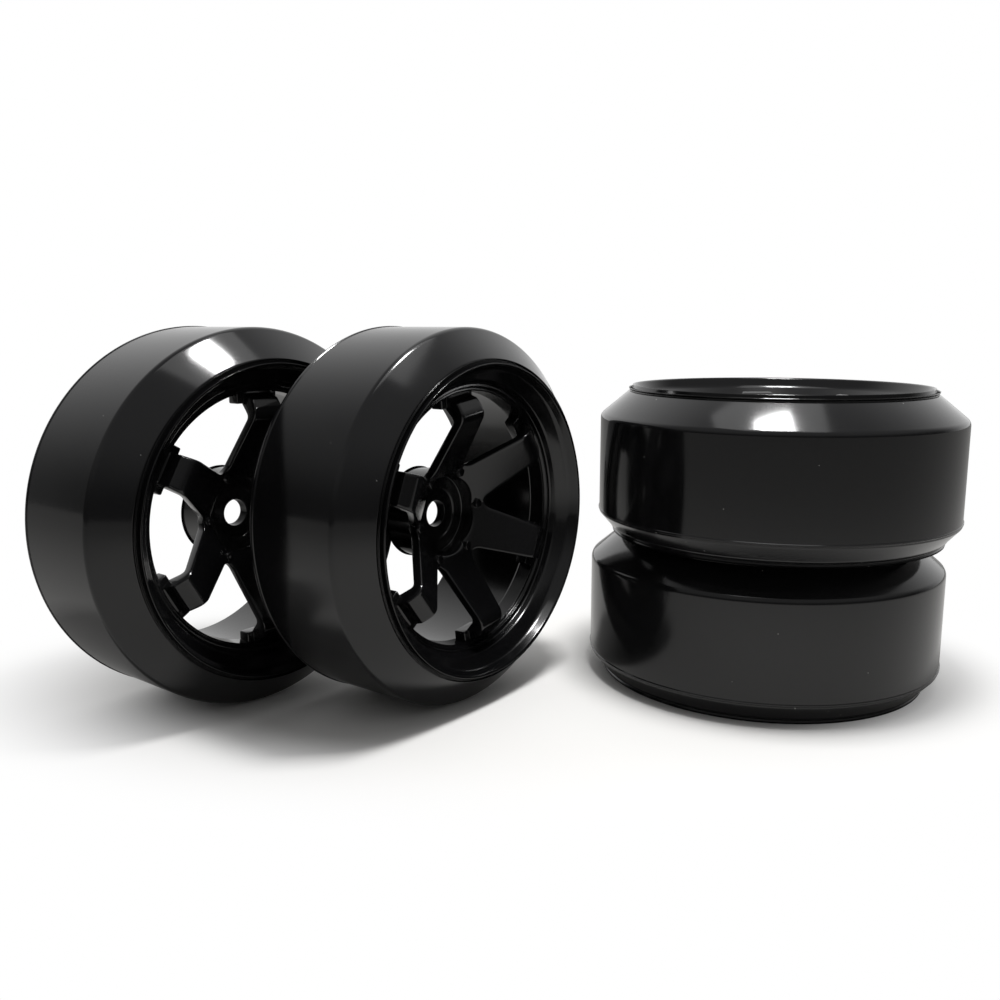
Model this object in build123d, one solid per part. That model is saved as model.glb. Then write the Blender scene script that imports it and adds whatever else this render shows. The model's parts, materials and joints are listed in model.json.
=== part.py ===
from build123d import *
import math
import os

# Four hard-plastic drift wheels for a 1/10 scale radio controlled car: each one is a moulded
# six-spoke rim with a solid hard tyre ring pressed onto it. Two wheels stand on their treads,
# one behind the other, and two lie face up as a stack. Millimetres, +Z up, floor at z = 0.

# Driving dimensions, shared by all four wheels
tyre_radius = 31.0
wheel_width = 26.0
axle_bore_radius = 2.1
hex_across_flats = 12.1

# Stations along a wheel's axle, measured from its inboard end (0) to its outboard lip
flash_line = 3.5
tread_end = 20.75
tyre_outboard_face = 24.9
ring_station = 21.0
knee_station = 24.1
spoke_root_station = 17.4
hub_top_station = 15.8
lug_top_station = 16.9
seat_station = 13.7
hub_floor_station = 11.9
boss_back_station = 9.2
rim_inboard_station = 0.6

# Radii of the tyre
tyre_bore_radius = 25.0
tyre_outboard_radius = 26.1
tyre_neck_radius = 28.9
flash_height = 0.15
flash_width = 0.5

# Radii of the rim
flange_radius = 26.1
snap_ridge_radius = 25.3
channel_radius = 24.4
lip_inner_radius = 25.1
ring_radius = 20.7
barrel_radius = 23.2
boss_radius = 8.0
recess_radius = 6.6
washer_radius = 4.4
washer_depth = 0.25
lug_circle_radius = 7.5
lug_radius = 0.8

# Spokes
spoke_count = 6
spoke_root_radius = 8.0
knee_radius = 17.4
heel_radius = 19.75
heel_station = 22.7
spoke_thickness = 1.9
spoke_root_width = 7.5
spoke_knee_width = 5.7
window_tip_radius = 1.5
heel_block_width = 7.8
heel_block_inner_radius = 18.9
heel_block_top_station = 20.6
heel_block_height = 2.2

# Where each wheel is: centre of the wheel for a standing one, centre of the base for a lying one,
# the way its outboard face is turned about +Z, and the turn of its first spoke
standing_wheels = {
    "front": {"centre": (-14.57, -7.32), "facing": 52.93, "spoke_turn": 97.8},
    "rear": {"centre": (-48.58, -6.33), "facing": 51.23, "spoke_turn": 90.0},
}
lying_wheels = {
    "lower": {"centre": (44.63, 5.44), "height": 0.0, "spoke_turn": 75.0},
    "upper": {"centre": (45.61, 2.93), "height": 26.05, "spoke_turn": 28.0},
}


def polar(radius, degrees):
    turn = math.radians(degrees)
    return (radius * math.cos(turn), radius * math.sin(turn))


def make_tyre():
    """Hard tyre ring: wide flat tread, a sloping outboard shoulder and a small inboard one."""
    with BuildPart() as tyre:
        with BuildSketch(Plane.XZ):
            with BuildLine():
                Polyline(
                    (tyre_bore_radius + 0.4, 0),
                    (tyre_neck_radius, 0),
                    (tyre_neck_radius, 1.1),
                    (tyre_radius, flash_line),
                    (tyre_radius, tread_end),
                    (tyre_outboard_radius, tyre_outboard_face),
                    (tyre_bore_radius, tyre_outboard_face),
                    (tyre_bore_radius, 2.0),
                    (tyre_bore_radius + 0.4, 1.6),
                    close=True,
                )
            make_face()
        revolve(axis=Axis.Z)
        shoulder = tyre.edges().filter_by(GeomType.CIRCLE).filter_by(
            lambda edge: abs(edge.center().Z - tread_end) < 0.01 and edge.radius > 30)
        fillet(shoulder, 1.2)
        outboard_corner = tyre.edges().filter_by(GeomType.CIRCLE).filter_by(
            lambda edge: abs(edge.center().Z - tyre_outboard_face) < 0.01
            and abs(edge.radius - tyre_outboard_radius) < 0.01)
        fillet(outboard_corner, 0.4)
        with BuildSketch(Plane.XZ):
            with Locations((tyre_radius, flash_line + flash_width / 2)):
                Rectangle(2 * flash_height, flash_width)
        revolve(axis=Axis.Z)
    return tyre.part


def make_barrel():
    """Rim barrel with its bead seats, rounded lip and the concave dish down to the window ring."""
    with BuildPart() as barrel:
        with BuildSketch(Plane.XZ):
            with BuildLine():
                Polyline(
                    (ring_radius, ring_station - 2.6),
                    (barrel_radius - 0.4, ring_station - 4.0),
                    (barrel_radius, rim_inboard_station),
                    (snap_ridge_radius, rim_inboard_station),
                    (snap_ridge_radius, 1.5),
                    (tyre_bore_radius, 2.0),
                    (tyre_bore_radius, 6.0),
                    (channel_radius, 6.6),
                    (channel_radius, 18.4),
                    (tyre_bore_radius, 19.0),
                    (tyre_bore_radius, tyre_outboard_face),
                    (flange_radius, tyre_outboard_face),
                    (flange_radius, wheel_width - 0.6),
                )
                ThreePointArc(
                    (flange_radius, wheel_width - 0.6),
                    (lip_inner_radius + 0.5, wheel_width),
                    (lip_inner_radius, wheel_width - 0.5),
                )
                Spline(
                    (lip_inner_radius, wheel_width - 0.5),
                    (ring_radius + 1.9, ring_station + 1.3),
                    (ring_radius + 0.7, ring_station + 0.5),
                    tangents=[(-0.5, -1), (-1, -0.15)],
                )
                Polyline(
                    (ring_radius + 0.7, ring_station + 0.5),
                    (ring_radius + 0.7, ring_station),
                    (ring_radius, ring_station),
                    (ring_radius, ring_station - 2.6),
                )
            make_face()
        revolve(axis=Axis.Z)
    return barrel.part


def make_spoke(turn):
    """One flat-faced spoke: it climbs from the hub to a knee, then drops back into the barrel."""
    slope = (knee_station - spoke_root_station) / (knee_radius - spoke_root_radius)
    inner_radius = recess_radius - 1.1
    inner_station = spoke_root_station + slope * (inner_radius - spoke_root_radius)
    buried_radius = ring_radius + 0.9
    with BuildPart() as spoke:
        with BuildSketch(Plane.XZ):
            with BuildLine():
                Polyline(
                    (inner_radius, inner_station),
                    (knee_radius, knee_station),
                    (heel_radius, heel_station),
                    (ring_radius - 0.2, ring_station),
                    (buried_radius, ring_station - 0.3),
                    (buried_radius, ring_station - 2.3),
                    (heel_radius - 0.6, ring_station - 1.2),
                    (knee_radius - 0.5, knee_station - spoke_thickness - 0.3),
                    (inner_radius, inner_station - spoke_thickness),
                    close=True,
                )
            make_face()
        extrude(amount=spoke_root_width, both=True)
        knee = spoke.edges().filter_by(Axis.Y).filter_by(
            lambda edge: abs(edge.center().X - knee_radius) < 0.01)
        fillet(knee, 1.3)
    return spoke.part.rotate(Axis.Z, turn)


def window_outline(turn):
    """Plan of one window: a rounded V between two spokes that opens out towards the barrel."""
    half_root = spoke_root_width / 2
    half_knee = spoke_knee_width / 2
    run = knee_radius - spoke_root_radius
    taper = (half_root - half_knee) / run
    far = ring_radius + 4
    half_far = half_root - taper * (far - spoke_root_radius)
    half_pitch = math.radians(180 / spoke_count)
    tip = (half_root + taper * spoke_root_radius) / (math.sin(half_pitch) + taper * math.cos(half_pitch))
    across = far * math.sin(half_pitch) - half_far * math.cos(half_pitch)
    along = far * math.cos(half_pitch) + half_far * math.sin(half_pitch)
    with BuildSketch() as outline:
        with BuildLine():
            Polyline((tip, 0), (along, across), (along, -across), close=True)
        make_face()
        corner = outline.vertices().sort_by(Axis.X)[0]
        fillet(corner, window_tip_radius)
    return outline.sketch.rotate(Axis.Z, turn)


def make_windows():
    """All the windows as prisms, trimmed to the window ring."""
    tall = wheel_width
    disc = Cylinder(ring_radius, tall, align=(Align.CENTER, Align.CENTER, Align.MIN))
    step = 360 / spoke_count
    prisms = [extrude(window_outline(step * (index + 0.5)), amount=tall) for index in range(spoke_count)]
    return [prism & disc for prism in prisms]


def make_heel_block(turn):
    """Step beside a spoke's heel, a little wider than the spoke and set lower than its face."""
    length = ring_radius + 0.6 - heel_block_inner_radius
    block = Box(length, heel_block_width, heel_block_height, align=(Align.MIN, Align.CENTER, Align.MAX))
    return block.translate((heel_block_inner_radius, 0, heel_block_top_station)).rotate(Axis.Z, turn)


def make_hub():
    """Boss behind the spokes, and the six moulded lug nuts in the valleys between them."""
    boss_height = hub_top_station - boss_back_station
    with BuildPart() as hub:
        with Locations((0, 0, boss_back_station)):
            Cylinder(boss_radius, boss_height, align=(Align.CENTER, Align.CENTER, Align.MIN))
        back_edge = hub.edges().filter_by(GeomType.CIRCLE).sort_by(Axis.Z)[0]
        chamfer(back_edge, 0.3)
        step = 360 / spoke_count
        for index in range(spoke_count):
            x, y = polar(lug_circle_radius, step * (index + 0.5))
            with BuildSketch(Plane.XY.offset(hub_top_station - 0.3)):
                with Locations((x, y)):
                    RegularPolygon(lug_radius, 6)
            extrude(amount=lug_top_station - hub_top_station + 0.3)
    return hub.part


def hub_cutters():
    """The spaces cut through the hub, from the outboard recess to the hexagon socket."""
    top = lug_top_station + 4
    recess = Cylinder(recess_radius, top - seat_station, align=(Align.CENTER, Align.CENTER, Align.MIN))
    washer = Cylinder(washer_radius, washer_depth, align=(Align.CENTER, Align.CENTER, Align.MAX))
    bore = Cylinder(axle_bore_radius, wheel_width, align=(Align.CENTER, Align.CENTER, Align.MIN))
    hexagon = RegularPolygon(hex_across_flats / 2, 6, major_radius=False)
    socket = extrude(hexagon, amount=hub_floor_station - boss_back_station + 1)
    return [
        recess.translate((0, 0, seat_station)),
        washer.translate((0, 0, seat_station)),
        bore,
        socket.translate((0, 0, boss_back_station - 1)),
    ]


def make_rim():
    """The whole rim as one moulding: barrel, spokes, heel blocks and hub."""
    step = 360 / spoke_count
    rim = make_barrel()
    spokes = [make_spoke(step * index) for index in range(spoke_count)]
    star = spokes[0].fuse(*spokes[1:])
    outer_trim = Cylinder(ring_radius + 0.8, wheel_width, align=(Align.CENTER, Align.CENTER, Align.MIN))
    star = star & outer_trim
    for window in make_windows():
        star = star - window
    blocks = [make_heel_block(step * index) for index in range(spoke_count)]
    rim = rim.fuse(star, make_hub(), *blocks)
    for cutter in hub_cutters():
        rim = rim - cutter
    return rim


def standing_location(wheel):
    """Places a wheel on its tread, with its outboard face turned by the facing angle."""
    facing = math.radians(wheel["facing"])
    outboard = Vector(math.sin(facing), -math.cos(facing), 0)
    across = Vector(math.cos(facing), math.sin(facing), 0)
    x, y = wheel["centre"]
    inboard_end = Vector(x, y, tyre_radius + flash_height) - outboard * (wheel_width / 2)
    return Plane(origin=inboard_end, x_dir=across, z_dir=outboard).location


def lying_location(wheel):
    """Places a wheel flat, with its outboard face up."""
    x, y = wheel["centre"]
    return Location((x, y, wheel["height"]))


def write_wheel(name, location, spoke_turn, tyre, rim):
    turn = Location((0, 0, 0), (0, 0, spoke_turn))
    placed_rim = rim.moved(location * turn)
    placed_tyre = tyre.moved(location * turn)
    export_step(placed_rim, f"parts/{name}_rim.step")
    export_step(placed_tyre, f"parts/{name}_tyre.step")
    return [placed_rim, placed_tyre]


def main():
    os.makedirs("parts", exist_ok=True)
    tyre = make_tyre()
    rim = make_rim()
    placed = []
    for name, wheel in standing_wheels.items():
        placed += write_wheel(name, standing_location(wheel), wheel["spoke_turn"], tyre, rim)
    for name, wheel in lying_wheels.items():
        placed += write_wheel(name, lying_location(wheel), wheel["spoke_turn"], tyre, rim)
    box = Compound(children=placed).bounding_box()
    print("size", box.size, "centre", box.center(), "floor", box.min.Z)


main()
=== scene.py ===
import bpy
import bmesh
import json
import math
from mathutils import Matrix, Vector


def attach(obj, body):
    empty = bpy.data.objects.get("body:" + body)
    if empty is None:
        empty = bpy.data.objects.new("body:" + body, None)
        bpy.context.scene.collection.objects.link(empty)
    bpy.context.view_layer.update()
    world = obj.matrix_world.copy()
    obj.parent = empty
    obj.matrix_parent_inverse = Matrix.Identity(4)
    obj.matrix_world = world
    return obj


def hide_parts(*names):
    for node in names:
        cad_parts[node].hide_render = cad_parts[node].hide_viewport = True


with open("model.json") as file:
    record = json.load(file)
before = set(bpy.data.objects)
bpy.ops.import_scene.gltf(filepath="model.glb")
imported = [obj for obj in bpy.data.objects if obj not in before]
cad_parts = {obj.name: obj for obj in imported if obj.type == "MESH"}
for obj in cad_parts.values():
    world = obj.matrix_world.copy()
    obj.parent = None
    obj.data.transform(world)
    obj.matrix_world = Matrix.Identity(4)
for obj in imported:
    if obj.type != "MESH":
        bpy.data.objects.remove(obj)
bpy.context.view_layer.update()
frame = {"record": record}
record = frame["record"]
mm = 0.001


def arcBetween(before, corner, after, radius):
    # points of a fillet at a corner, or the corner itself when it has no radius
    toBefore = (Vector(before) - Vector(corner)).normalized()
    toAfter = (Vector(after) - Vector(corner)).normalized()
    half = toBefore.angle(toAfter) / 2
    if radius <= 0 or half > math.radians(89):
        return [Vector(corner)]
    centre = Vector(corner) + (toBefore + toAfter).normalized() * (radius / math.sin(half))
    sweep = math.pi - 2 * half
    steps = max(3, math.ceil(math.degrees(sweep) / 9))
    start = Vector(corner) + toBefore * (radius / math.tan(half)) - centre
    sign = 1 if start.x * toAfter.y - start.y * toAfter.x > 0 else -1
    points = []
    for step in range(steps + 1):
        turn = sign * sweep * step / steps
        points.append(centre + Vector((start.x * math.cos(turn) - start.y * math.sin(turn),
                                       start.x * math.sin(turn) + start.y * math.cos(turn))))
    return points


def filletedOutline(corners, closed=True):
    # corners are (radius, station, fillet); an open outline keeps its two ends as they are
    points = []
    count = len(corners)
    for index, (r, s, fillet) in enumerate(corners):
        if not closed and index in (0, count - 1):
            points.append(Vector((r, s)))
            continue
        before = corners[index - 1][:2]
        after = corners[(index + 1) % count][:2]
        points += arcBetween(before, (r, s), after, fillet)
    return points


def addLathe(bm, outline, segments, radiusAt=None):
    # closed ring of quads round the axle; radiusAt can bend a radius with the angle
    rings = []
    for r, s in outline:
        ring = []
        for step in range(segments):
            turn = 2 * math.pi * step / segments
            here = radiusAt(r, turn) if radiusAt else r
            ring.append(bm.verts.new((here * math.cos(turn) * mm, here * math.sin(turn) * mm, s * mm)))
        rings.append(ring)
    for index, ring in enumerate(rings):
        following = rings[(index + 1) % len(rings)]
        for step in range(segments):
            onward = (step + 1) % segments
            bm.faces.new((ring[step], following[step], following[onward], ring[onward]))


def finishMesh(bm, name):
    bmesh.ops.remove_doubles(bm, verts=bm.verts, dist=0.2e-6)
    bmesh.ops.recalc_face_normals(bm, faces=bm.faces)
    if bm.calc_volume(signed=True) < 0:  # a ring can come out turned inside out
        bmesh.ops.reverse_faces(bm, faces=bm.faces)
    mesh = bpy.data.meshes.new(name)
    bm.to_mesh(mesh)
    bm.free()
    return mesh


def newObject(name, mesh):
    piece = bpy.data.objects.new(name, mesh)
    bpy.context.scene.collection.objects.link(piece)
    return piece


def appliedMesh(piece):
    depsgraph = bpy.context.evaluated_depsgraph_get()
    mesh = bpy.data.meshes.new_from_object(piece.evaluated_get(depsgraph))
    bpy.data.objects.remove(piece)
    return mesh


tyre = {  # sizes in millimetres; a station is measured from the inboard face
    "segments": 256,
    "treadRadius": 31.0,
    "treadStartFillet": 0.25,
    "treadEndFillet": 1.3,
    "boreRadius": 25.0,
    "boreChamfer": 0.4,
    "boreChamferStation": 1.6,
    "neckRadius": 28.9,
    "neckStation": 1.1,
    "treadStart": 3.5,
    "treadEnd": 20.75,
    "outboardRadius": 26.1,
    "outboardStation": 24.9,
    "flashHeight": 0.13,
    "flashWidth": 0.45,
    "flashCrest": 0.2,
    "flashFillet": 0.05,
}


def makeTyreMesh():
    t = tyre
    flashStart = t["treadStart"] + t["treadStartFillet"]
    flashEnd = flashStart + t["flashWidth"]
    flashTop = t["treadRadius"] + t["flashHeight"]
    crestStart = (flashStart + flashEnd - t["flashCrest"]) / 2
    corners = [
        (t["boreRadius"] + t["boreChamfer"], 0.0, 0.15),
        (t["neckRadius"], 0.0, 0.4),
        (t["neckRadius"], t["neckStation"], 0.3),
        (t["treadRadius"], t["treadStart"], t["treadStartFillet"]),
        (t["treadRadius"], flashStart, t["flashFillet"]),
        (flashTop, crestStart, t["flashFillet"]),
        (flashTop, crestStart + t["flashCrest"], t["flashFillet"]),
        (t["treadRadius"], flashEnd, t["flashFillet"]),
        (t["treadRadius"], t["treadEnd"], t["treadEndFillet"]),
        (t["outboardRadius"], t["outboardStation"], 0.45),
        (t["boreRadius"], t["outboardStation"], 0.0),
        (t["boreRadius"], t["boreChamferStation"] + t["boreChamfer"], 0.0),
        (t["boreRadius"] + t["boreChamfer"], t["boreChamferStation"], 0.0),
    ]
    bm = bmesh.new()
    addLathe(bm, filletedOutline(corners), t["segments"])
    return finishMesh(bm, "tyreMesh")


rim = {
    "segments": 240,
    "spokes": 6,
    "lipRadius": 26.1,
    "lipInnerRadius": 25.1,
    "width": 26.0,
    "ringRadius": 20.7,
    "ringStation": 21.0,
    "ringStepRadius": 21.4,
    "ringStep": 0.5,
    "ringDepth": 2.6,
    "throatRadius": 22.8,
    "throatStation": 17.0,
    "dish": [(24.5, 24.3, 1.6), (22.6, 22.75, 0.8), (22.2, 21.5, 0.4)],  # radius, station, fillet
    "barrelRadius": 23.2,
    "inboardStation": 0.6,
    "seatRadius": 25.0,
    "flangeRadius": 25.3,
    "flangeStation": 1.5,
    "seatStart": 2.0,
    "channelRadius": 24.4,
    "channelStart": 6.0,
    "channelEnd": 19.0,
    "channelSlope": 0.6,
    "bossRadius": 8.0,
    "bossBack": 9.2,
    "hexAcrossFlats": 12.1,
    "hubFloor": 11.9,
    "axleBoreRadius": 2.1,
    "recessRadius": 6.6,
    "nutSeat": 13.7,
    "washerRadius": 4.4,
    "washerDepth": 0.25,
    "hubTop": 15.6,
    "lugCircle": 7.5,
    "lugRadius": 0.8,
    "lugTop": 16.9,
}

spoke = {
    "rootRadius": 8.0,
    "rootStation": 17.4,
    "kneeRadius": 17.4,
    "kneeStation": 24.1,
    "kneeFillet": 2.1,
    "heelRadius": 19.75,
    "heelStation": 22.7,
    "rootHalfWidth": 3.75,
    "kneeHalfWidth": 2.85,
    "thickness": 1.9,
    "tipFillet": 1.5,
    "edgeRound": 0.32,
    "hiddenStart": 2.0,  # how far the faces run on inside the recess edge
    "hiddenEnd": 1.0,    # and past the inside of the window ring
    "columns": 10,
    "solidStart": 7.1,
    "solidRows": 4,
    "tipRows": 8,
    "faceRows": 5,
}


def makeBarrelMesh():
    r = rim
    corners = [
        (r["ringRadius"], r["ringStation"] - r["ringDepth"], 0.3),
        (r["throatRadius"], r["throatStation"], 0.8),
        (r["barrelRadius"], r["inboardStation"], 0.25),
        (r["flangeRadius"], r["inboardStation"], 0.1),
        (r["flangeRadius"], r["flangeStation"], 0.0),
        (r["seatRadius"], r["seatStart"], 0.0),
        (r["seatRadius"], r["channelStart"], 0.0),
        (r["channelRadius"], r["channelStart"] + r["channelSlope"], 0.0),
        (r["channelRadius"], r["channelEnd"] - r["channelSlope"], 0.0),
        (r["seatRadius"], r["channelEnd"], 0.0),
        (r["seatRadius"], tyre["outboardStation"], 0.0),
        (r["lipRadius"], tyre["outboardStation"], 0.1),
        (r["lipRadius"], r["width"], 0.5),
        (r["lipInnerRadius"], r["width"], 0.45),
    ]
    corners += r["dish"]
    corners += [
        (r["ringStepRadius"], r["ringStation"] + r["ringStep"], 0.12),
        (r["ringStepRadius"], r["ringStation"], 0.1),
        (r["ringRadius"], r["ringStation"], 0.2),
    ]
    bm = bmesh.new()
    addLathe(bm, filletedOutline(corners), r["segments"])
    return finishMesh(bm, "barrelMesh")


def hexagonRadius(turn):
    sixth = math.pi / 3
    return rim["hexAcrossFlats"] / 2 / math.cos((turn % sixth) - sixth / 2)


def makeHubMesh():
    # boss with the hexagon socket behind and the nut seat in front
    r = rim
    socket = r["hexAcrossFlats"] / 2
    socketFillet = 0.12
    corners = [
        (socket, r["bossBack"], socketFillet),
        (r["bossRadius"], r["bossBack"], 0.3),
        (r["bossRadius"], r["hubTop"], 0.2),
        (r["recessRadius"], r["hubTop"], 0.1),
        (r["recessRadius"], r["nutSeat"], 0.25),
        (r["washerRadius"], r["nutSeat"], 0.06),
        (r["washerRadius"], r["nutSeat"] - r["washerDepth"], 0.06),
        (r["axleBoreRadius"], r["nutSeat"] - r["washerDepth"], 0.15),
        (r["axleBoreRadius"], r["hubFloor"], 0.1),
        (socket, r["hubFloor"], 0.0),
    ]

    def radiusAt(radius, turn):
        isSocket = abs(radius - socket) < socketFillet + 0.01
        return hexagonRadius(turn) + (radius - socket) if isSocket else radius

    bm = bmesh.new()
    addLathe(bm, filletedOutline(corners), r["segments"], radiusAt)
    return finishMesh(bm, "hubMesh")


def spokeFaceStart():
    # where the flat face begins, in line with its slope from root to knee
    s = spoke
    slope = (s["kneeStation"] - s["rootStation"]) / (s["kneeRadius"] - s["rootRadius"])
    start = rim["recessRadius"] - s["hiddenStart"]
    return start, s["rootStation"] + slope * (start - s["rootRadius"])


def spokeTopPath():
    s = spoke
    start, station = spokeFaceStart()
    return filletedOutline([
        (start, station, 0),
        (s["kneeRadius"], s["kneeStation"], s["kneeFillet"]),
        (s["heelRadius"], s["heelStation"], 0.4),
        (rim["ringRadius"] - 0.25, rim["ringStation"], 0.3),
        (rim["ringRadius"] + s["hiddenEnd"], rim["ringStation"] - 0.4, 0),
    ], closed=False)


def spokeBottomPath():
    s = spoke
    start, station = spokeFaceStart()
    return filletedOutline([
        (start, station - s["thickness"], 0),
        (s["kneeRadius"] - 0.5, s["kneeStation"] - s["thickness"] - 0.35, 0.9),
        (s["heelRadius"] - 0.6, rim["ringStation"] - 1.2, 0.6),
        (rim["ringRadius"] + s["hiddenEnd"], rim["ringStation"] - 2.2, 0),
    ], closed=False)


def heightOn(path, x):
    for here, onward in zip(path, path[1:]):
        if here.x <= x <= onward.x:
            share = (x - here.x) / max(onward.x - here.x, 1e-9)
            return here.y + (onward.y - here.y) * share
    return path[0].y if x < path[0].x else path[-1].y


def spokeOutline():
    # half of one spoke's plan: (distance along the spoke, half width), out from the hub
    s = spoke
    pitch = math.pi / rim["spokes"]
    taper = (s["rootHalfWidth"] - s["kneeHalfWidth"]) / (s["kneeRadius"] - s["rootRadius"])
    half = pitch + math.atan(taper)
    apex = (s["rootHalfWidth"] + taper * s["rootRadius"]) / (math.sin(pitch) + taper * math.cos(pitch))
    middle = apex + s["tipFillet"] / math.sin(half)
    centre = Vector((middle * math.cos(pitch), middle * math.sin(pitch)))
    tip = middle - s["tipFillet"]
    rows = []
    for step in range(s["solidRows"]):
        x = s["solidStart"] + (tip * math.cos(pitch) - s["solidStart"]) * step / s["solidRows"]
        rows.append((x, x * math.tan(pitch)))
    first = math.pi + pitch
    last = math.pi * 1.5 - math.atan(taper)
    for step in range(s["tipRows"] + 1):
        turn = first + (last - first) * step / s["tipRows"]
        rows.append((centre.x + s["tipFillet"] * math.cos(turn),
                     centre.y + s["tipFillet"] * math.sin(turn)))
    start = rows[-1][0]
    faceEnd = s["kneeRadius"] - 1.6
    beyond = [start + (faceEnd - start) * step / s["faceRows"] for step in range(1, s["faceRows"] + 1)]
    beyond += [point.x for point in spokeTopPath() if point.x > faceEnd + 0.1]
    beyond += [x + 0.5 * (onward - x) for x, onward in zip(beyond, beyond[1:]) if onward - x > 0.5]
    for x in sorted(beyond):
        rows.append((x, s["rootHalfWidth"] - taper * (x - s["rootRadius"])))
    return rows


def makeStarMesh():
    # the six spokes, joined round the recess; one sixth is a grid that a loop turns round the axle
    top, bottom = spokeTopPath(), spokeBottomPath()
    outline = spokeOutline()
    columns = spoke["columns"]
    pitch = math.pi / rim["spokes"]
    edgeRadius = rim["recessRadius"] + 0.02
    bm = bmesh.new()
    for index in range(rim["spokes"]):
        turn = index * 2 * pitch
        grid = []
        for rowIndex in range(-1, len(outline)):
            row = []
            for column in range(columns + 1):
                share = 2 * column / columns - 1
                if rowIndex < 0:
                    x, y = edgeRadius * math.cos(share * pitch), edgeRadius * math.sin(share * pitch)
                else:
                    x, y = outline[rowIndex][0], outline[rowIndex][1] * share
                worldX = x * math.cos(turn) - y * math.sin(turn)
                worldY = x * math.sin(turn) + y * math.cos(turn)
                high, low = heightOn(top, x), heightOn(bottom, x)
                row.append((bm.verts.new((worldX * mm, worldY * mm, high * mm)),
                            bm.verts.new((worldX * mm, worldY * mm, low * mm))))
            grid.append(row)
        tipRow = spoke["solidRows"] + 1  # the windows, and so the side walls, start here
        for a, b in zip(grid, grid[1:]):
            for left in range(columns):
                bm.faces.new((a[left][0], b[left][0], b[left + 1][0], a[left + 1][0]))
                bm.faces.new((a[left + 1][1], b[left + 1][1], b[left][1], a[left][1]))
        for a, b in zip(grid[tipRow:], grid[tipRow + 1:]):
            bm.faces.new((a[0][0], a[0][1], b[0][1], b[0][0]))
            bm.faces.new((a[-1][1], a[-1][0], b[-1][0], b[-1][1]))
        for end in (grid[0], grid[-1]):
            for left in range(columns):
                bm.faces.new((end[left][0], end[left + 1][0], end[left + 1][1], end[left][1]))
    star = newObject("star", finishMesh(bm, "starMesh"))
    rounding = star.modifiers.new("edges", "BEVEL")
    rounding.width = spoke["edgeRound"] * mm
    rounding.segments = 3
    rounding.limit_method = "ANGLE"
    rounding.angle_limit = math.radians(50)
    rounding.harden_normals = False
    return appliedMesh(star)


heelBlock = {"inner": 18.9, "outer": 21.4, "halfWidth": 3.9, "top": 20.6, "bottom": 18.4, "round": 0.25}
lugNut = {"sides": 6, "round": 0.12, "foot": 15.0}


def makePrismMesh(name, plan, low, high, rounded):
    # upright solid on a plan outline, its edges rounded
    bm = bmesh.new()
    lower = [bm.verts.new((x * mm, y * mm, low * mm)) for x, y in plan]
    upper = [bm.verts.new((x * mm, y * mm, high * mm)) for x, y in plan]
    bm.faces.new(upper)
    bm.faces.new(lower[::-1])
    for index in range(len(plan)):
        onward = (index + 1) % len(plan)
        bm.faces.new((lower[index], lower[onward], upper[onward], upper[index]))
    block = newObject(name, finishMesh(bm, name))
    rounding = block.modifiers.new("edges", "BEVEL")
    rounding.width = rounded * mm
    rounding.segments = 3
    return appliedMesh(block)


def smallParts():
    # heel blocks on the spokes' lines, lug nuts in the valleys between them
    h, parts = heelBlock, []
    step = 2 * math.pi / rim["spokes"]
    plan = [(h["inner"], -h["halfWidth"]), (h["outer"], -h["halfWidth"]),
            (h["outer"], h["halfWidth"]), (h["inner"], h["halfWidth"])]
    block = makePrismMesh("heelBlock", plan, h["bottom"], h["top"], h["round"])
    nutPlan = [(rim["lugCircle"] + rim["lugRadius"] * math.cos(2 * math.pi * side / lugNut["sides"]),
                rim["lugRadius"] * math.sin(2 * math.pi * side / lugNut["sides"]))
               for side in range(lugNut["sides"])]
    nut = makePrismMesh("lugNut", nutPlan, lugNut["foot"], rim["lugTop"], lugNut["round"])
    for index in range(rim["spokes"]):
        parts.append((block, Matrix.Rotation(index * step, 4, "Z")))
        parts.append((nut, Matrix.Rotation((index + 0.5) * step, 4, "Z")))
    return parts


def unite(base, other):
    # boolean union that keeps one closed skin
    joining = base.modifiers.new("union", "BOOLEAN")
    joining.operation = "UNION"
    joining.solver = "MANIFOLD"
    joining.object = other
    depsgraph = bpy.context.evaluated_depsgraph_get()
    mesh = bpy.data.meshes.new_from_object(base.evaluated_get(depsgraph))
    base.modifiers.clear()
    base.data = mesh
    bpy.data.objects.remove(other)


def makeRimMesh():
    whole = newObject("rimWhole", makeBarrelMesh())
    unite(whole, newObject("star", makeStarMesh()))
    unite(whole, newObject("hub", makeHubMesh()))
    for mesh, turn in smallParts():
        part = newObject("part", mesh)
        part.matrix_world = turn
        bpy.context.view_layer.update()
        unite(whole, part)
    mesh = whole.data
    bpy.data.objects.remove(whole)
    return mesh


def linear(hexText):
    values = []
    for start in (1, 3, 5):
        s = int(hexText[start:start + 2], 16) / 255
        values.append(s / 12.92 if s <= 0.04045 else ((s + 0.055) / 1.055) ** 2.4)
    return (*values, 1.0)


def addNode(tree, kind, settings=None, links=None):
    # settings go to properties or input sockets; links are input name or number -> source socket
    node = tree.nodes.new(kind)
    for key, value in (settings or {}).items():
        if isinstance(key, str) and hasattr(node, key):
            setattr(node, key, value)
        else:
            node.inputs[key].default_value = value
    for key, source in (links or {}).items():
        tree.links.new(source, node.inputs[key])
    return node


def newMaterial(name):
    material = bpy.data.materials.new(name)
    material.use_nodes = True
    material.node_tree.nodes.clear()
    return material, material.node_tree


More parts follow.
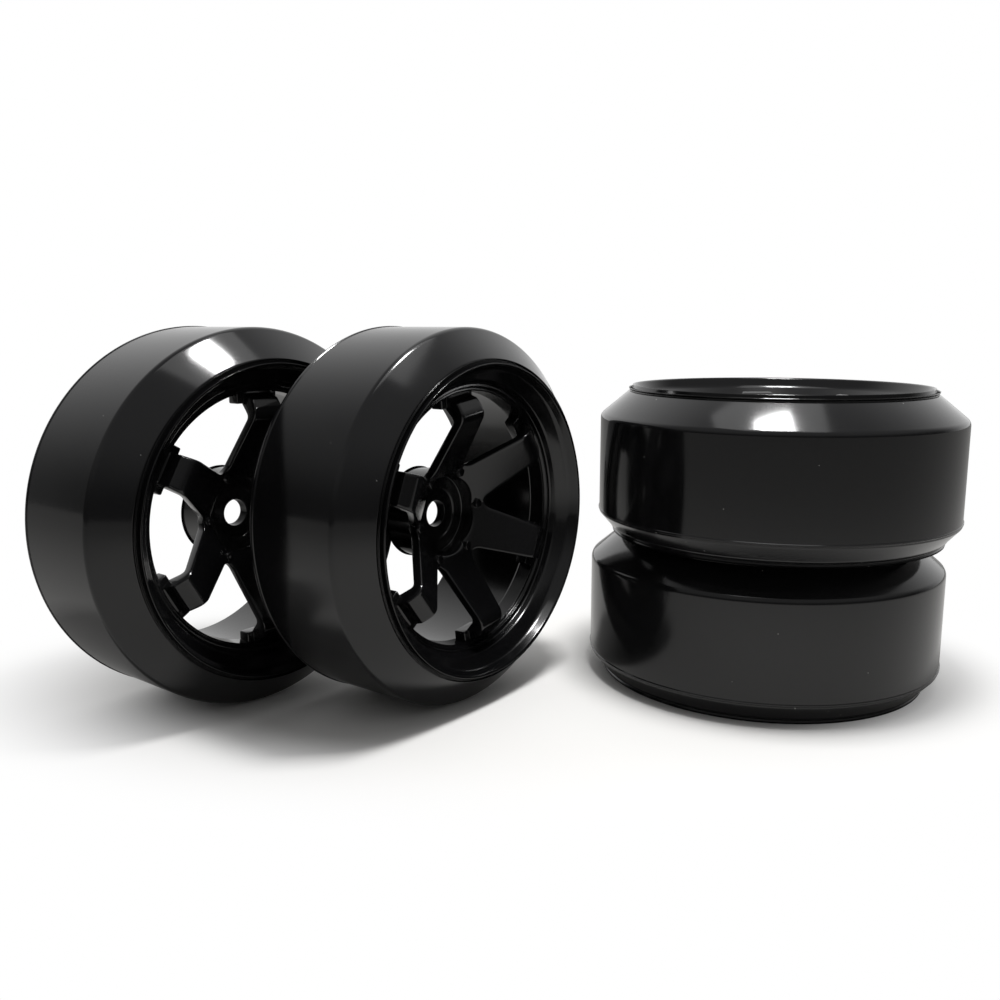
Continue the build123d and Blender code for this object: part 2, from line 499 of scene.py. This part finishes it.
tyrePlastic = {
    "color": "#0c0c0d",
    "colorWorn": "#151516",
    "ior": 1.49,
    "roughness": 0.09,
    "roughnessSpread": 0.07,
    "mouldLineMm": 0.35,   # real drag lines are nearer 0.05 mm: coarser here so that they show
    "speckMm": 0.12,
    "cloudMm": 14.0,
    "dustColor": "#8d8d8a",
    "dustCellMm": 3.2,
    "dustSizeMm": 0.09,
}

rimPlastic = {
    "color": "#0b0b0c",
    "ior": 1.5,
    "roughness": 0.1,
    "roughnessSpread": 0.06,
    "peelMm": 1.6,
    "cloudMm": 8.0,
    "cornerMm": 0.18,
}


def makeTyrePlastic():
    # acetal, injection moulded: black, hard, satin gloss, with fine drag lines round the tread
    p = tyrePlastic
    material, tree = newMaterial("acetalTyreMoulded")
    place = addNode(tree, "ShaderNodeAttribute", {"attribute_name": "mouldPlace"})
    own = addNode(tree, "ShaderNodeObjectInfo")
    clouds = addNode(tree, "ShaderNodeTexNoise",
                     {"noise_dimensions": "4D", "Scale": 1 / (p["cloudMm"] * mm), "Detail": 4.0},
                     {"Vector": place.outputs["Vector"], "W": own.outputs["Random"]})
    stretch = addNode(tree, "ShaderNodeMapping", {"Scale": (0.02, 0.02, 1.0)},
                      {"Vector": place.outputs["Vector"]})
    lines = addNode(tree, "ShaderNodeTexNoise",
                    {"Scale": 1 / (p["mouldLineMm"] * mm), "Detail": 3.0, "Roughness": 0.6},
                    {"Vector": stretch.outputs["Vector"]})
    specks = addNode(tree, "ShaderNodeTexNoise", {"Scale": 1 / (p["speckMm"] * mm), "Detail": 2.0},
                     {"Vector": place.outputs["Vector"]})
    color = addNode(tree, "ShaderNodeMixRGB",
                    {"Color1": linear(p["color"]), "Color2": linear(p["colorWorn"])},
                    {"Fac": clouds.outputs["Fac"]})
    cells = addNode(tree, "ShaderNodeTexVoronoi", {"Scale": 1 / (p["dustCellMm"] * mm)},
                    {"Vector": place.outputs["Vector"]})
    dust = addNode(tree, "ShaderNodeMath",
                   {"operation": "LESS_THAN", 1: p["dustSizeMm"] / p["dustCellMm"]},
                   {0: cells.outputs["Distance"]})
    dusty = addNode(tree, "ShaderNodeMixRGB", {"Color2": linear(p["dustColor"])},
                    {"Fac": dust.outputs["Value"], "Color1": color.outputs["Color"]})
    rough = addNode(tree, "ShaderNodeMapRange",
                    {"From Min": 0.3, "From Max": 0.7, "To Min": p["roughness"],
                     "To Max": p["roughness"] + p["roughnessSpread"]},
                    {"Value": clouds.outputs["Fac"]})
    lineBump = addNode(tree, "ShaderNodeBump", {"Strength": 0.05, "Distance": 0.02 * mm},
                       {"Height": lines.outputs["Fac"]})
    bump = addNode(tree, "ShaderNodeBump", {"Strength": 0.06, "Distance": 0.01 * mm},
                   {"Height": specks.outputs["Fac"], "Normal": lineBump.outputs["Normal"]})
    shader = addNode(tree, "ShaderNodeBsdfPrincipled", {"IOR": p["ior"]},
                     {"Base Color": dusty.outputs["Color"], "Roughness": rough.outputs["Result"],
                      "Normal": bump.outputs["Normal"]})
    addNode(tree, "ShaderNodeOutputMaterial", None, {"Surface": shader.outputs["BSDF"]})
    return material


def makeRimPlastic():
    # glass-filled nylon from a polished mould: deep black, glossy, with a faint waviness
    p = rimPlastic
    material, tree = newMaterial("nylonRimPolishedMould")
    place = addNode(tree, "ShaderNodeAttribute", {"attribute_name": "mouldPlace"})
    own = addNode(tree, "ShaderNodeObjectInfo")
    clouds = addNode(tree, "ShaderNodeTexNoise",
                     {"noise_dimensions": "4D", "Scale": 1 / (p["cloudMm"] * mm), "Detail": 3.0},
                     {"Vector": place.outputs["Vector"], "W": own.outputs["Random"]})
    peel = addNode(tree, "ShaderNodeTexNoise", {"Scale": 1 / (p["peelMm"] * mm), "Detail": 1.0},
                   {"Vector": place.outputs["Vector"]})
    rough = addNode(tree, "ShaderNodeMapRange",
                    {"From Min": 0.3, "From Max": 0.7, "To Min": p["roughness"],
                     "To Max": p["roughness"] + p["roughnessSpread"]},
                    {"Value": clouds.outputs["Fac"]})
    corner = addNode(tree, "ShaderNodeBevel", {"samples": 6, "Radius": p["cornerMm"] * mm})
    bump = addNode(tree, "ShaderNodeBump", {"Strength": 0.05, "Distance": 0.05 * mm},
                   {"Height": peel.outputs["Fac"], "Normal": corner.outputs["Normal"]})
    shader = addNode(tree, "ShaderNodeBsdfPrincipled", {"IOR": p["ior"], "Base Color": linear(p["color"])},
                     {"Roughness": rough.outputs["Result"], "Normal": bump.outputs["Normal"]})
    addNode(tree, "ShaderNodeOutputMaterial", None, {"Surface": shader.outputs["BSDF"]})
    return material


spokeTurn = {"front": 97.8, "rear": 90.0, "lower": 75.0, "upper": 28.0}  # degrees, first spoke
sharpFrom = 28  # degrees between faces that are left as a crease


def wheelPlace(name):
    # the hexagon socket's floor and axis in the record say where the wheel is
    socket = next(mount for mount in record["mounts"] if mount["name"] == name + "_hex_socket")
    outboard = -Vector(socket["axis"])
    lying = abs(outboard.z) > 0.9
    across = Vector((1, 0, 0)) if lying else Vector((0, 0, 1)).cross(outboard)
    upward = outboard.cross(across)
    inboardEnd = Vector(socket["pos_m"]) - outboard * (rim["hubFloor"] * mm)
    axes = Matrix((across, upward, outboard)).transposed().to_4x4()
    return Matrix.Translation(inboardEnd) @ axes @ Matrix.Rotation(math.radians(spokeTurn[name]), 4, "Z")


def addWheel(name, rimMesh, tyreMesh, rimLook, tyreLook):
    for part, mesh, look in (("rim", rimMesh, rimLook), ("tyre", tyreMesh, tyreLook)):
        piece = newObject(f"{name}_{part}_moulding", mesh.copy())
        piece.data.name = piece.name
        # the patterns follow the moulding, so its own coordinates are kept before it is placed
        own = piece.data.attributes.new("mouldPlace", "FLOAT_VECTOR", "POINT")
        for vertex, stored in zip(piece.data.vertices, own.data):
            stored.vector = vertex.co
        piece.data.transform(wheelPlace(name))
        piece.data.materials.clear()
        piece.data.materials.append(look)
        piece.data.shade_smooth()
        piece.data.set_sharp_from_angle(angle=math.radians(sharpFrom))
        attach(piece, name + "_wheel")
        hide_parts(f"{name}_{part}")


studio = {  # millimetres; the tones are the strength of the world from low in front to behind
    "lampPlace": (35.0, -30.0, 230.0),
    "lampSize": 42.0,
    "lampWatts": 0.4,
    "haloSize": 130.0,
    "haloWatts": 0.07,
    "floorColor": "#f6f5f3",
    "floorBounceColor": "#d3d2d0",  # what the glossy wheels pick up from the paper
    "whiteStretch": (0.6, 1.1, 1.0),  # the plain white starts on an oval round the row of wheels
    "whiteFrom": 34.0,
    "whiteTo": 64.0,
    "frontLowTone": 0.07,
    "frontHighTone": 0.3,
    "backTone": 1.0,
}


def addLamp(name, place, size, watts):
    lamp = bpy.data.lights.new(name, "AREA")
    lamp.shape = "SQUARE"
    lamp.size = size * mm
    lamp.energy = watts
    holder = bpy.data.objects.new(name, lamp)
    holder.location = Vector(place) * mm
    bpy.context.scene.collection.objects.link(holder)


def makeFloor():
    bm = bmesh.new()
    bmesh.ops.create_grid(bm, x_segments=1, y_segments=1, size=6.0)
    floor = newObject("studioFloor", finishMesh(bm, "studioFloor"))
    floor.location.z = -0.02 * mm
    material, tree = newMaterial("paperFloorWhite")
    place = addNode(tree, "ShaderNodeNewGeometry")
    oval = addNode(tree, "ShaderNodeVectorMath", {"operation": "MULTIPLY", 1: studio["whiteStretch"]},
                   {0: place.outputs["Position"]})
    distance = addNode(tree, "ShaderNodeVectorMath", {"operation": "LENGTH"}, {0: oval.outputs["Vector"]})
    away = addNode(tree, "ShaderNodeMapRange",
                   {"interpolation_type": "SMOOTHSTEP", "From Min": studio["whiteFrom"] * mm,
                    "From Max": studio["whiteTo"] * mm}, {"Value": distance.outputs["Value"]})
    ray = addNode(tree, "ShaderNodeLightPath")
    share = addNode(tree, "ShaderNodeMath", {"operation": "MULTIPLY"},
                    {0: away.outputs["Result"], 1: ray.outputs["Is Camera Ray"]})
    tint = addNode(tree, "ShaderNodeMixRGB",
                   {"Color1": linear(studio["floorBounceColor"]), "Color2": linear(studio["floorColor"])},
                   {"Fac": ray.outputs["Is Camera Ray"]})
    paper = addNode(tree, "ShaderNodeBsdfDiffuse", None, {"Color": tint.outputs["Color"]})
    white = addNode(tree, "ShaderNodeEmission", {"Strength": 1.0})
    both = addNode(tree, "ShaderNodeMixShader", None,
                   {0: share.outputs["Value"], 1: paper.outputs["BSDF"], 2: white.outputs["Emission"]})
    addNode(tree, "ShaderNodeOutputMaterial", None, {"Surface": both.outputs["Shader"]})
    floor.data.materials.append(material)


def makeWorld():
    world = bpy.data.worlds.new("studio")
    world.use_nodes = True
    bpy.context.scene.world = world
    tree = world.node_tree
    tree.nodes.clear()
    place = addNode(tree, "ShaderNodeTexCoord")
    parts = addNode(tree, "ShaderNodeSeparateXYZ", None, {0: place.outputs["Generated"]})
    height = addNode(tree, "ShaderNodeMapRange",
                     {"interpolation_type": "SMOOTHSTEP", "From Min": 0.1, "From Max": 0.6,
                      "To Min": studio["frontLowTone"], "To Max": studio["frontHighTone"]},
                     {"Value": parts.outputs["Z"]})
    depth = addNode(tree, "ShaderNodeMapRange",
                    {"interpolation_type": "SMOOTHSTEP", "From Min": 0.0, "From Max": 0.75,
                     "To Max": studio["backTone"]},
                    {"Value": parts.outputs["Y"], "To Min": height.outputs["Result"]})
    ray = addNode(tree, "ShaderNodeLightPath")
    tone = addNode(tree, "ShaderNodeMix", {"data_type": "FLOAT", 3: 1.0},
                   {0: ray.outputs["Is Camera Ray"], 2: depth.outputs["Result"]})
    light = addNode(tree, "ShaderNodeBackground", {"Color": (1, 1, 1, 1)}, {"Strength": tone.outputs[0]})
    addNode(tree, "ShaderNodeOutputWorld", None, {"Surface": light.outputs["Background"]})


view = {"place": (-3.34, -172.37, 62.55), "tiltDown": 10.02, "lens": 35.81, "sensor": 36.0}


def addCamera():
    camera = bpy.data.cameras.new("view")
    camera.lens = view["lens"]
    camera.sensor_width = view["sensor"]
    camera.clip_start = 0.005
    holder = bpy.data.objects.new("view", camera)
    holder.location = Vector(view["place"]) * mm
    holder.rotation_euler = (math.radians(90 - view["tiltDown"]), 0, 0)
    bpy.context.scene.collection.objects.link(holder)
    bpy.context.scene.camera = holder


addCamera()
makeFloor()
makeWorld()
addLamp("softboxCore", studio["lampPlace"], studio["lampSize"], studio["lampWatts"])
haloPlace = Vector(studio["lampPlace"]) + Vector((0, 0, 2))  # just above, so that the core stays in front
addLamp("softboxHalo", haloPlace, studio["haloSize"], studio["haloWatts"])
bpy.context.scene.view_settings.view_transform = "Standard"
print("studio ready")

tyreMesh = makeTyreMesh()
print("tyre mesh", len(tyreMesh.polygons), "faces")
rimMesh = makeRimMesh()
print("rim mesh", len(rimMesh.polygons), "faces")
rimLook, tyreLook = makeRimPlastic(), makeTyrePlastic()
for name in spokeTurn:
    addWheel(name, rimMesh, tyreMesh, rimLook, tyreLook)
print("wheels placed")
